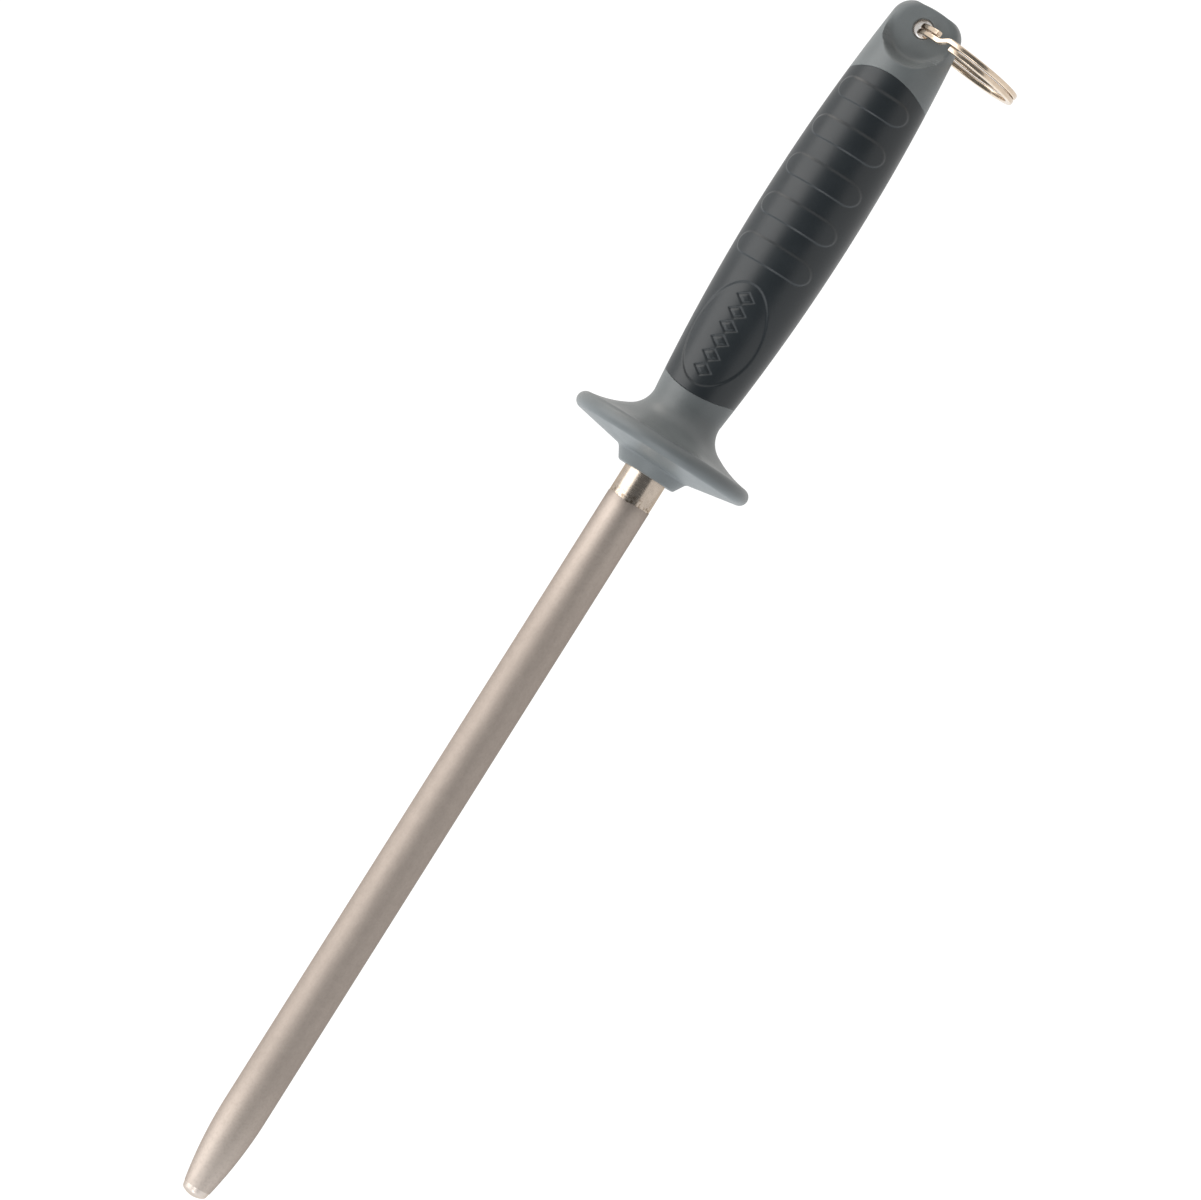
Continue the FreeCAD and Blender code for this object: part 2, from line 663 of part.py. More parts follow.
def check(doc):
    """Stop on any object that failed, and on any sub-part that isn't one sound solid."""
    failed = [o.Name for o in doc.Objects if "Invalid" in o.State or "Error" in o.State]
    if failed:
        raise RuntimeError(f"failed objects: {failed}")
    for name in NODES:
        shape = doc.getObject(name).Shape
        if shape.isNull() or not shape.isValid() or len(shape.Solids) != 1:
            raise RuntimeError(f"{name} is not one sound solid")
        low, high = shape.BoundBox.ZMin, shape.BoundBox.ZMax
        print(f"{name}: {shape.Volume:.1f} mm3, z {low:.2f} to {high:.2f}")


def main():
    doc = FreeCAD.newDocument("sharpening_steel")
    make_sheet(doc)
    steel = rod_form(doc, "steel_form", "0", 0)
    pin = make_pin(doc)
    make_rod_tube(doc, steel, pin)
    make_coating(doc, steel)
    tang_blank, _ = make_tang(doc, pin)
    form = make_handle_form(doc)
    zone = make_grip_zone(doc)
    under_grip = belly_form(doc, "under_grip", "-", "grip_wall")
    make_core(doc, form, zone, under_grip, tang_blank, pin)
    make_grip(doc, form, zone, under_grip)
    make_liner(doc)
    make_split_ring(doc)
    doc.recompute()
    check(doc)
    os.makedirs("parts", exist_ok=True)
    for name in NODES:
        part = doc.getObject(name)
        part.Label = name
        part.Shape.exportStep(f"parts/{name}.step")


main()
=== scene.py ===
# %% [markdown]
# # A knife sharpening steel, dressed for its portrait
# A sharpening steel is a coated rod with a moulded handle, a guard that keeps the hand off the blade,
# and a ring to hang it by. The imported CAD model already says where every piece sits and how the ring
# swings. This lesson builds a finer skin for each piece that shows, gives each its finish, and lights
# it like a catalogue picture: a white tent that is brightest underfoot, a large soft light on the left
# with two small helpers, and a dark panel in front.

# %% Load the frame
import json
import math

import bpy
import bmesh
from mathutils import Matrix, Vector


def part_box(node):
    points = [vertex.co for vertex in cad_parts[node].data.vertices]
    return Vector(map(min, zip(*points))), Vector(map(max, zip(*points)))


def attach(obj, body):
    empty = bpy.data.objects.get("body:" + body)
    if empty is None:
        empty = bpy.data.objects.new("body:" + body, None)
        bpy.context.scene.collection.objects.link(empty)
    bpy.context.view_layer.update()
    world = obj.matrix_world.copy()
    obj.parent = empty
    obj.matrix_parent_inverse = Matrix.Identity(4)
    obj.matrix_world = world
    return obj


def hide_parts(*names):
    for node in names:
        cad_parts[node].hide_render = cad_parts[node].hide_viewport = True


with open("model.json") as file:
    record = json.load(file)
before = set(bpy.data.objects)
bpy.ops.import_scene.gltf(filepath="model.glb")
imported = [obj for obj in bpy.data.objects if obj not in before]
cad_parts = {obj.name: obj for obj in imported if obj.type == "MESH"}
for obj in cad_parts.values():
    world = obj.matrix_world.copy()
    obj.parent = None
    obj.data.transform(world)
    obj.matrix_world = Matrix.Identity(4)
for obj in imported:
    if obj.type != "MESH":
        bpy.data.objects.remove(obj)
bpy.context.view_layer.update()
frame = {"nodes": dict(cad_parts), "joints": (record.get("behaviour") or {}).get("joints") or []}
MM = 0.001
print("nodes:", sorted(frame["nodes"]))

# %% [markdown]
# ## Where things are
# Heights along the handle are read from the frame wherever a node's box gives them. The few sizes that
# a box can't tell, such as the radius of a curve, are named here in millimetres, as a maker's drawing
# would give them.

# %% Sizes from the frame and the drawing
def low(node):
    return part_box(node)[0] / MM


def high(node):
    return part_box(node)[1] / MM


TIP = low("rod_tube").z
SOCKET_END = high("rod_tube").z
COAT_LOW = low("abrasive_coating").z
COAT_HIGH = high("abrasive_coating").z
COAT_RADIUS = high("abrasive_coating").x
COAT_THICKNESS = 0.1
TUBE_RADIUS = COAT_RADIUS - COAT_THICKNESS
RIM_RADIUS = high("handle_core").x
CROWN = high("handle_core").z
BELLY_RADIUS = high("grip_sleeve").x
HOLE_Z = frame["joints"][0]["pos_m"][2] / MM
HOLE_RADIUS = high("lanyard_liner").x
LINER_HALF = high("lanyard_liner").y

SOCKET_RADIUS = 6.0
SOCKET_LEDGE = 0.1
COLLAR_FACE = 8.55
COLLAR_BASE = (10.68, 3.6)
COLLAR_EDGE_ROUND = 0.9
COLLAR_BASE_ROUND = 1.6
RIM_NOSE = 2.4
RIM_CENTRE = (RIM_RADIUS - RIM_NOSE, 8.6)
FLARE_OUTER = 29.0
FLARE_INNER = 7.4
NECK = (10.3, 21.0)
BELLY = (BELLY_RADIUS, 82.0)
BUTT = (9.95, 145.2)
BUTT_ROUND = 6.0
print(f"rod {-TIP:.1f} mm long below the collar, handle {CROWN:.1f} mm, rim {2 * RIM_RADIUS:.1f} mm across")

# %% [markdown]
# ## The camera
# A long lens from a little over a metre and a half flattens the rod, as catalogue pictures do. The
# rod leans a little over thirty degrees in the picture, and that lean is the camera's roll: the
# object itself stays upright in its own frame. The handle is turned a few degrees, so the camera
# stands that much to the side.

# %% Camera
CAMERA_TURN = math.radians(8.0)
CAMERA_ROLL = math.radians(32.22)
CAMERA_DISTANCE = 1.65
FIELD_WIDTH = 0.32262
AIM_HEIGHT = -0.03471
AIM_ASIDE = 0.007655

toward_camera = Vector((math.sin(CAMERA_TURN), -math.cos(CAMERA_TURN), 0))
aside = Vector((math.cos(CAMERA_TURN), math.sin(CAMERA_TURN), 0))
upward = Vector((0, 0, 1))


def make_camera():
    """A rolled long-lens camera, level with the middle of the object."""
    data = bpy.data.cameras.new("portrait_lens")
    data.sensor_width = 36.0
    data.lens = data.sensor_width * CAMERA_DISTANCE / FIELD_WIDTH
    data.clip_end = 50
    camera = bpy.data.objects.new("camera", data)
    bpy.context.scene.collection.objects.link(camera)
    right = math.cos(CAMERA_ROLL) * aside + math.sin(CAMERA_ROLL) * upward
    up = math.cos(CAMERA_ROLL) * upward - math.sin(CAMERA_ROLL) * aside
    turn = Matrix((right, up, toward_camera)).transposed().to_4x4()
    aim = Vector((0, 0, AIM_HEIGHT)) + AIM_ASIDE * aside
    camera.matrix_world = Matrix.Translation(aim + CAMERA_DISTANCE * toward_camera) @ turn
    bpy.context.scene.camera = camera
    print(f"lens {data.lens:.0f} mm at {CAMERA_DISTANCE} m")


make_camera()

# %% [markdown]
# ## Drawing an outline
# Most of this object is turned or moulded round one axis, so its pieces start as an outline: points
# given as (radius, height). Rounds are arcs worked out from a centre and a radius. Where two round
# stretches flow into each other, their circles touch, and the centre of the one between is found by
# crossing two circles.

# %% Outline tools
def arc(centre, start, end, steps):
    """Points on a circle about a centre, from one point to another the short way round."""
    radius = math.dist(centre, start)
    first = math.atan2(start[1] - centre[1], start[0] - centre[0])
    last = math.atan2(end[1] - centre[1], end[0] - centre[0])
    sweep = (last - first + math.pi) % (2 * math.pi) - math.pi
    return [
        (centre[0] + radius * math.cos(first + sweep * i / steps),
         centre[1] + radius * math.sin(first + sweep * i / steps))
        for i in range(steps + 1)
    ]


def straight(start, end, steps):
    """Evenly spaced points along a line."""
    return [
        (start[0] + (end[0] - start[0]) * i / steps, start[1] + (end[1] - start[1]) * i / steps)
        for i in range(steps + 1)
    ]


def toward(start, end, distance):
    """The point a distance from start in the direction of end."""
    share = distance / math.dist(start, end)
    return start[0] + (end[0] - start[0]) * share, start[1] + (end[1] - start[1]) * share


def circles_cross(first, first_radius, second, second_radius):
    """Both points at the two distances from the two centres."""
    gap = math.dist(first, second)
    along = (first_radius ** 2 - second_radius ** 2 + gap ** 2) / (2 * gap)
    across = math.sqrt(first_radius ** 2 - along ** 2)
    unit = ((second[0] - first[0]) / gap, (second[1] - first[1]) / gap)
    foot = (first[0] + along * unit[0], first[1] + along * unit[1])
    return [(foot[0] - side * across * unit[1], foot[1] + side * across * unit[0]) for side in (1, -1)]


def rounded_corner(before, corner, after, radius, steps=8):
    """An arc that takes the place of a corner between two straight runs."""
    a = Vector((before[0] - corner[0], before[1] - corner[1])).normalized()
    b = Vector((after[0] - corner[0], after[1] - corner[1])).normalized()
    half = a.angle(b) / 2
    reach = radius / math.tan(half)
    middle = (a + b).normalized() * (radius / math.sin(half))
    centre = (corner[0] + middle.x, corner[1] + middle.y)
    start = (corner[0] + a.x * reach, corner[1] + a.y * reach)
    end = (corner[0] + b.x * reach, corner[1] + b.y * reach)
    return arc(centre, start, end, steps)


def belly_radius(height):
    """Radius of the long bulge of the handle at a height."""
    end = NECK if height < BELLY[1] else BUTT
    drop = BELLY[0] - end[0]
    rise = abs(end[1] - BELLY[1])
    radius = (drop * drop + rise * rise) / (2 * drop)
    away = height - BELLY[1]
    return BELLY[0] - radius + math.sqrt(radius * radius - away * away)


print(f"belly at the hole: {belly_radius(HOLE_Z):.2f} mm")

# %% [markdown]
# ## Turning an outline into a mesh
# A lathe mesh is a grid: one column for each step round the axis, one row for each point of the
# outline. Here every column may have its own outline, as long as all have the same number of points.
# That lets the same tool make plain turned parts and parts whose edge rises and falls round the axis.

# %% Lathe
TINY = 1e-6


def finish_mesh(name, mesh, sharp_degrees=40):
    """Smooth shading, with true corners kept crisp, on a new object."""
    mesh.shade_smooth()
    mesh.set_sharp_from_angle(angle=math.radians(sharp_degrees))
    piece = bpy.data.objects.new(name, mesh)
    bpy.context.scene.collection.objects.link(piece)
    return piece


def lathe_mesh(name, outline_at, columns, closed=False):
    """A closed mesh from outline_at(angle), a list of (radius, height) in mm about Z.

    A point on the axis becomes one shared vertex. With closed, the last row joins back to the first.
    """
    mesh = bpy.data.meshes.new(name)
    bm = bmesh.new()
    outlines = [outline_at(2 * math.pi * i / columns) for i in range(columns)]
    rows = len(outlines[0])
    grid = []
    for row in range(rows):
        if outlines[0][row][0] < TINY:
            pole = bm.verts.new((0, 0, outlines[0][row][1] * MM))
            grid.append([pole] * columns)
            continue
        ring = []
        for i, outline in enumerate(outlines):
            angle = 2 * math.pi * i / columns
            radius, height = outline[row]
            place = (radius * math.cos(angle) * MM, radius * math.sin(angle) * MM, height * MM)
            ring.append(bm.verts.new(place))
        grid.append(ring)
    last = rows if closed else rows - 1
    for row in range(last):
        here = grid[row]
        there = grid[(row + 1) % rows]
        for i in range(columns):
            j = (i + 1) % columns
            corners = [here[i], here[j], there[j], there[i]]
            unique = list(dict.fromkeys(corners))
            if len(unique) > 2:
                bm.faces.new(unique)
    bmesh.ops.recalc_face_normals(bm, faces=bm.faces)
    bm.to_mesh(mesh)
    bm.free()
    return mesh


# %% [markdown]
# ## The rod
# The rod is a steel tube closed to a blunt point. Its outline is a straight side, a long arc that
# draws the point in, and a gently domed end with a rounded edge. The grit is a skin a tenth of a
# millimetre thick over the same form. It stops short of the nose and of the collar, and at those two
# ends the bare, brighter steel shows.

# %% Rod and grit
POINT_LENGTH = 27.0
POINT_ARC = 123.0
NOSE_ARC = 6.0
NOSE_ROUND = 1.2
TUBE_WALL = 1.5
ROD_COLUMNS = 128


def rod_side(skin):
    """The rod's outline from the tip to the top of the coated length, grown by skin."""
    radius = TUBE_RADIUS + skin
    tip = TIP - skin
    shoulder = TIP + POINT_LENGTH
    big = POINT_ARC + skin
    big_centre = (radius - big, shoulder)
    nose = NOSE_ARC + skin
    nose_centre = (0, tip + nose)
    # a small circle that touches the domed end and the long arc from inside rounds the edge
    touches = circles_cross(nose_centre, nose - NOSE_ROUND, big_centre, big - NOSE_ROUND)
    edge_centre = min(touches, key=lambda point: point[1])
    nose_end = toward(nose_centre, edge_centre, nose)
    side_start = toward(big_centre, edge_centre, big)
    nose_points = arc(nose_centre, (0, tip), nose_end, 16)
    nose_points += arc(edge_centre, nose_end, side_start, 8)[1:]
    point = arc(big_centre, side_start, (radius, shoulder), 40)
    return nose_points + point[1:]


def make_rod():
    """The steel tube: point, long side, the thinner length inside the handle, and back down the bore."""
    side = rod_side(0)
    inner = TUBE_RADIUS - TUBE_WALL
    bore_end = TIP + POINT_LENGTH
    outside = side + straight(side[-1], (TUBE_RADIUS, SOCKET_LEDGE), 60)[1:]
    inside_handle = straight((SOCKET_RADIUS, SOCKET_LEDGE), (SOCKET_RADIUS, SOCKET_END), 10)
    bore = straight((inner, SOCKET_END), (inner, bore_end), 30)
    dome = arc((0, bore_end), (inner, bore_end), (0, bore_end - inner), 10)
    outline = outside + inside_handle + bore + dome[1:]
    mesh = lathe_mesh("steel_rod", lambda angle: outline, ROD_COLUMNS)
    piece = finish_mesh("steel_rod", mesh)
    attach(piece, "steel")
    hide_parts("rod_tube")
    return piece


# the coat's top edge: how far it stays below the line in the frame, and its waves as
# (height in mm, waves in one turn, start)
EDGE_DROP = 0.4
EDGE_WAVES = ((0.18, 2, 1.0), (0.12, 5, 0.0), (0.06, 11, 2.0))


def make_grit():
    """The coated skin. Its top edge wanders a little, as a plated edge does."""
    thickness = COAT_RADIUS - TUBE_RADIUS
    outer = [p for p in rod_side(thickness) if p[1] > COAT_LOW]
    inner = [p for p in rod_side(0) if p[1] > COAT_LOW]
    steps = 60
    edge = 0.05

    def outline_at(angle):
        wander = sum(size * math.sin(count * angle + start) for size, count, start in EDGE_WAVES)
        top = COAT_HIGH - EDGE_DROP + wander
        up = straight(outer[-1], (COAT_RADIUS, top - edge), steps)
        lip = [(COAT_RADIUS - edge * 0.4, top - edge * 0.3), (COAT_RADIUS - edge, top)]
        down = straight((TUBE_RADIUS, top), (TUBE_RADIUS, inner[-1][1]), steps)
        return outer + up[1:] + lip + down + inner[::-1][1:]

    mesh = lathe_mesh("grit_layer", outline_at, ROD_COLUMNS, closed=True)
    piece = finish_mesh("grit_layer", mesh)
    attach(piece, "steel")
    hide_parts("abrasive_coating")
    return piece


steel_rod = make_rod()
grit_layer = make_grit()
print("rod and grit:", len(steel_rod.data.polygons) + len(grit_layer.data.polygons), "faces")

# %% [markdown]
# ## The hard handle core
# The collar, the flared guard, the neck and the butt are one hard moulding. Under the soft grip it
# runs on as a thinner stem. The step between the two is not level: the mould parts along bowed lines,
# so its height depends on how far a point is to the left or right. Each column of the lathe gets its
# own step height, and the grip is made with the same rule, so the two meet all the way round.

# %% Where grip and core meet
LOW_BOW = 26.5
HIGH_BOW = 23.5
GRIP_WALL = 2.4
GRIP_BOTTOM = 25.0
GRIP_TOP = 125.25


def meeting_height(angle, top):
    """Height of the bowed line between grip and core, where it crosses the handle's side at an angle."""
    height = GRIP_TOP if top else GRIP_BOTTOM
    for _ in range(8):
        across = belly_radius(height) * math.cos(angle)
        if top:
            height = GRIP_TOP - HIGH_BOW + math.sqrt(HIGH_BOW ** 2 - across ** 2)
        else:
            height = GRIP_BOTTOM + LOW_BOW - math.sqrt(LOW_BOW ** 2 - across ** 2)
    return height


in_front = math.pi / 2
print(f"grip from {meeting_height(in_front, False):.1f} to {meeting_height(in_front, True):.1f} mm in front")

# %% [markdown]
# The butt has a round dish on each side of the lanyard hole. Seen along the hole, the dish is a
# circle with a flat floor and a steep, drafted wall. A column of the lathe runs straight out from the
# axis until it meets either the round side or the dish, whichever comes first. Blending the two
# surfaces instead of taking the plain nearer one rounds the edge between them, as a mould would.

# %% The dished butt
DISH_FLOOR = 5.0
DISH_RADIUS = 9.1
DISH_FOOT = 0.35
DISH_DRAFT = 3.1
DISH_SOFT = 0.42
STRAIGHT_ENOUGH = 30
EDGE_BLEND = 1.8


def dish_half(distance):
    """Half the butt's thickness at a distance from the hole's axis: flat, then a softly rising wall."""
    past = distance - DISH_RADIUS - DISH_FOOT
    rise = DISH_SOFT * math.log1p(math.exp(min(past / DISH_SOFT, STRAIGHT_ENOUGH)))
    return DISH_FLOOR + DISH_DRAFT * rise


def butt_reach(angle, radius, height):
    """How far out the material goes, where the round side is at a radius and the dish may cut in."""
    across, depth = math.cos(angle), abs(math.sin(angle))

    def outside(reach):
        """Below zero in the material, above zero outside it."""
        past_side = reach - radius
        past_dish = reach * depth - dish_half(math.hypot(reach * across, height - HOLE_Z))
        overlap = max(EDGE_BLEND - abs(past_side - past_dish), 0)
        return max(past_side, past_dish) + overlap * overlap / (4 * EDGE_BLEND)

    near, step = 0.0, 0.4
    while outside(near + step) < 0:
        near += step
    far = near + step
    for _ in range(16):
        middle = (near + far) / 2
        near, far = (middle, far) if outside(middle) < 0 else (near, middle)
    return near


def crown_points():
    """The rounded corner of the butt and its gently crowned end, from the side to the axis."""
    sag = CROWN - BUTT[1]
    crown_radius = (BUTT[0] ** 2 + sag ** 2) / (2 * sag)
    crown_centre = (0, CROWN - crown_radius)
    little = 0.01
    below = (belly_radius(BUTT[1] - little), BUTT[1] - little)
    inward = BUTT[0] - little
    beside = (inward, crown_centre[1] + math.sqrt(crown_radius ** 2 - inward ** 2))
    corner = rounded_corner(below, BUTT, beside, BUTT_ROUND, 14)
    last = corner[-1][0]
    steps = 16
    top = []
    for i in range(1, steps + 1):
        radius = last * (1 - i / steps)
        top.append((radius, crown_centre[1] + math.sqrt(crown_radius ** 2 - radius ** 2)))
    return corner + top


def guard_points():
    """Collar, guard and flare, from the rod's socket out and up to the neck."""
    underside_slope = math.atan2(RIM_CENTRE[1] - COLLAR_BASE[1], RIM_CENTRE[0] - COLLAR_BASE[0])
    underside_slope -= math.asin(RIM_NOSE / math.dist(COLLAR_BASE, RIM_CENTRE))
    nose_start = (
        RIM_CENTRE[0] + RIM_NOSE * math.sin(underside_slope),
        RIM_CENTRE[1] - RIM_NOSE * math.cos(underside_slope),
    )
    inner_centre = (NECK[0] + FLARE_INNER, NECK[1])
    crossings = circles_cross(inner_centre, FLARE_OUTER - FLARE_INNER, RIM_CENTRE, FLARE_OUTER + RIM_NOSE)
    outer_centre = max(crossings, key=lambda point: point[1])
    nose_end = toward(RIM_CENTRE, outer_centre, RIM_NOSE)
    flare_meet = toward(outer_centre, inner_centre, FLARE_OUTER)
    side = (RIM_RADIUS, RIM_CENTRE[1])
    face = [(SOCKET_RADIUS, SOCKET_LEDGE), (TUBE_RADIUS, SOCKET_LEDGE), (TUBE_RADIUS, 0)]
    collar_edge = rounded_corner((TUBE_RADIUS, 0), (COLLAR_FACE, 0), COLLAR_BASE, COLLAR_EDGE_ROUND)
    collar_base = rounded_corner((COLLAR_FACE, 0), COLLAR_BASE, nose_start, COLLAR_BASE_ROUND, 10)
    points = face + collar_edge
    points += straight(collar_edge[-1], collar_base[0], 4)[1:]
    points += collar_base[1:]
    points += straight(collar_base[-1], nose_start, 16)[1:]
    points += arc(RIM_CENTRE, nose_start, side, 18)[1:]
    points += arc(RIM_CENTRE, side, nose_end, 18)[1:]
    points += arc(outer_centre, nose_end, flare_meet, 24)[1:]
    points += arc(inner_centre, flare_meet, NECK, 26)[1:]
    return points


guard = guard_points()
crown = crown_points()
print(f"guard outline {len(guard)} points, crown outline {len(crown)} points")

# %% Hard core mesh
CORE_COLUMNS = 288
SOCKET_ROWS = 12
NECK_ROWS = 12
STEM_ROWS = 24
BUTT_ROWS = 72
SOCKET_LAST_ROW = 0.4
SEAM = 0.12


def core_outline(angle):
    """The core's outline at one angle: socket, guard, neck, stem and dished butt."""
    low_step = meeting_height(angle, False)
    high_step = meeting_height(angle, True)
    points = [(0, SOCKET_END)]
    points += straight((SOCKET_RADIUS, SOCKET_END), (SOCKET_RADIUS, SOCKET_LAST_ROW), SOCKET_ROWS) + guard
    for i in range(1, NECK_ROWS + 1):
        height = NECK[1] + (low_step - SEAM - NECK[1]) * i / NECK_ROWS
        points.append((belly_radius(height), height))
    points.append((belly_radius(low_step) - SEAM, low_step))
    for i in range(STEM_ROWS + 1):
        height = low_step + (high_step - low_step) * i / STEM_ROWS
        points.append((belly_radius(height) - GRIP_WALL, height))
    points.append((belly_radius(high_step) - SEAM, high_step))
    start = high_step + SEAM
    end = crown[0][1]
    for i in range(BUTT_ROWS):
        height = start + (end - start) * i / BUTT_ROWS
        points.append((butt_reach(angle, belly_radius(height), height), height))
    for radius, height in crown[:-1]:
        points.append((butt_reach(angle, radius, height), height))
    points.append(crown[-1])
    return points


def cut_through(piece, cutter):
    """Cut one closed mesh out of another and throw the cutter away."""
    modifier = piece.modifiers.new("cut", "BOOLEAN")
    modifier.operation = "DIFFERENCE"
    modifier.solver = "EXACT"
    modifier.object = cutter
    bpy.context.view_layer.update()
    evaluated = piece.evaluated_get(bpy.context.evaluated_depsgraph_get())
    mesh = bpy.data.meshes.new_from_object(evaluated)
    piece.modifiers.clear()
    old = piece.data
    piece.data = mesh
    bpy.data.meshes.remove(old)
    bpy.data.objects.remove(cutter)
    return piece


def hole_cutter():
    """A bar along the hole with softly flared mouths at the two dish floors."""
    mouth = 0.4
    past_floor = 6
    steps = 6
    flare = [
        (HOLE_RADIUS + mouth * (1 - math.cos(turn)), DISH_FLOOR - mouth + mouth * math.sin(turn))
        for turn in [math.pi / 2 * i / steps for i in range(steps + 1)]
    ]
    outer = flare + [(HOLE_RADIUS + mouth, DISH_FLOOR + past_floor)]
    outline = [(0, -outer[-1][1])] + [(r, -z) for r, z in outer[::-1]] + outer + [(0, outer[-1][1])]
    mesh = lathe_mesh("hole_cutter", lambda angle: outline, 64)
    mesh.transform(Matrix.Translation((0, 0, HOLE_Z * MM)) @ Matrix.Rotation(math.radians(90), 4, "X"))
    cutter = bpy.data.objects.new("hole_cutter", mesh)
    bpy.context.scene.collection.objects.link(cutter)
    return cutter


def make_core():
    """The hard moulding, with the lanyard hole cut through its butt."""
    mesh = lathe_mesh("handle_body", core_outline, CORE_COLUMNS)
    piece = bpy.data.objects.new("handle_body", mesh)
    bpy.context.scene.collection.objects.link(piece)
    cut_through(piece, hole_cutter())
    piece.data.shade_smooth()
    piece.data.set_sharp_from_angle(angle=math.radians(35))
    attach(piece, "steel")
    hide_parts("handle_core")
    return piece


handle_body = make_core()
print("core:", len(handle_body.data.polygons), "faces")

# %% [markdown]
# ## The soft grip
# The grip is moulded over the core in a softer, darker rubber. Five pads with round ends stand a third
# of a millimetre proud of it, front and back, crisp along the lower edge and softer along the upper.
# Below them is a sunk oval with a chain of small engraved lozenges. All of it is a height map: for
# every point of a fine grid, a rule gives how far it is from the edge of a shape, and that distance
# becomes a height or a depth with a soft wall. The whole relief sits a few degrees round from the hole.

# %% Height of the grip's pads and depth of its oval
PAD_COUNT = 5
PAD_FIRST = 67.25
PAD_PITCH = 12.4
PAD_HALF_HEIGHT = 3.45
PAD_SPAN_SHARE = 0.845
PAD_LIFT = 0.34
PAD_WALL_LOW = 0.5
PAD_WALL_HIGH = 1.1
RELIEF_TURN = math.radians(-3.5)
OVAL_HEIGHT = 42.97
OVAL_HALF_LONG = 15.3
OVAL_HALF_WIDE = 9.6
OVAL_DEPTH = 0.36
OVAL_WALL = 0.6
LOZENGE_COUNT = 6
LOZENGE_PITCH = 4.4
LOZENGE_HALF_LONG = 1.85
LOZENGE_HALF_WIDE = 2.9
LOZENGE_STROKE = 0.62
LOZENGE_DEPTH = 0.26
LOZENGE_WALL = 0.34


def s_curve(share):
    """Runs from 0 to 1 as share does, level at both ends."""
    share = min(max(share, 0), 1)
    return share * share * (3 - 2 * share)


def soft_step(inside, width):
    """0 outside an edge, 1 inside it, with an S-shaped wall of a given width."""
    return s_curve(inside / width + 0.5)


def pad_lift(across, height):
    """How far the nearest pad stands out, a place across the handle and a height given."""
    index = min(max(round((height - PAD_FIRST) / PAD_PITCH), 0), PAD_COUNT - 1)
    middle = PAD_FIRST + index * PAD_PITCH
    half_span = PAD_SPAN_SHARE * belly_radius(middle)
    beyond = max(abs(across) - (half_span - PAD_HALF_HEIGHT), 0)
    inside = PAD_HALF_HEIGHT - math.hypot(beyond, height - middle)
    wall = PAD_WALL_LOW + (PAD_WALL_HIGH - PAD_WALL_LOW) * soft_step(height - middle, 2 * PAD_HALF_HEIGHT)
    return PAD_LIFT * soft_step(inside - wall / 3, wall)


def oval_depth(across, height):
    """How deep the oval is there. Its distance to the edge is near enough the miss over the slope."""
    level = height - OVAL_HEIGHT
    if abs(level) > OVAL_HALF_LONG + OVAL_WALL:
        return 0
    shape = math.hypot(across / OVAL_HALF_WIDE, level / OVAL_HALF_LONG)
    slope = math.hypot(across / OVAL_HALF_WIDE ** 2, level / OVAL_HALF_LONG ** 2) / max(shape, TINY)
    inside = (1 - shape) / max(slope, TINY)
    return OVAL_DEPTH * soft_step(inside, OVAL_WALL)


def lozenge_depth(across, height):
    """How deep the engraved outlines of the lozenges are there."""
    depth = 0
    scale = LOZENGE_HALF_LONG * LOZENGE_HALF_WIDE / math.hypot(LOZENGE_HALF_LONG, LOZENGE_HALF_WIDE)
    for index in range(LOZENGE_COUNT):
        level = height - OVAL_HEIGHT - (index - (LOZENGE_COUNT - 1) / 2) * LOZENGE_PITCH
        shape = abs(across) / LOZENGE_HALF_WIDE + abs(level) / LOZENGE_HALF_LONG
        inside = (1 - shape) * scale
        line = LOZENGE_STROKE / 2 - abs(inside - LOZENGE_STROKE / 2)
        depth = max(depth, LOZENGE_DEPTH * soft_step(line, LOZENGE_WALL))
    return depth


def grip_relief(angle, height):
    """How far the grip stands out from its plain bulge: pads up, oval and lozenges down."""
    across = belly_radius(height) * math.cos(angle - RELIEF_TURN)
    return pad_lift(across, height) - oval_depth(across, height) - lozenge_depth(across, height)


# %% Grip mesh
GRIP_COLUMNS = 300
GRIP_ROWS = 520
GRIP_INNER_ROWS = 24
GRIP_GAP = 0.02
GRIP_EDGE = 0.14


def grip_outline(angle):
    """The grip's outline at one angle: up the outside, over the rounded top edge and down the inside."""
    bottom = meeting_height(angle, False) + GRIP_GAP
    top = meeting_height(angle, True) - GRIP_GAP
    edge = GRIP_EDGE
    halfway = edge * 0.3
    points = [(belly_radius(bottom) - edge, bottom), (belly_radius(bottom) - halfway, bottom + halfway)]
    for i in range(GRIP_ROWS + 1):
        height = bottom + edge + (top - bottom - 2 * edge) * i / GRIP_ROWS
        points.append((belly_radius(height) + grip_relief(angle, height), height))
    points += [(belly_radius(top) - halfway, top - halfway), (belly_radius(top) - edge, top)]
    for i in range(GRIP_INNER_ROWS + 1):
        height = top + (bottom - top) * i / GRIP_INNER_ROWS
        points.append((belly_radius(height) - GRIP_WALL + GRIP_GAP, height))
    return points


def make_grip():
    """The soft sleeve, whose wall is closed at the top and the bottom."""
    mesh = lathe_mesh("soft_grip", grip_outline, GRIP_COLUMNS, closed=True)
    piece = finish_mesh("soft_grip", mesh, 60)
    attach(piece, "steel")
    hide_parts("grip_sleeve")
    return piece


soft_grip = make_grip()
print("grip:", len(soft_grip.data.polygons), "faces")

# %% [markdown]
# ## Liner and split ring
# The hole is lined with a short metal tube with rounded mouths. The split ring is two turns of flat
# wire lying on each other. Halfway along, the wire steps from the lower turn to the upper one, and the
# two cut ends sit on each side of that step. Its path is worked out by angle, counted from the wire
# inside the hole and going round by the front.

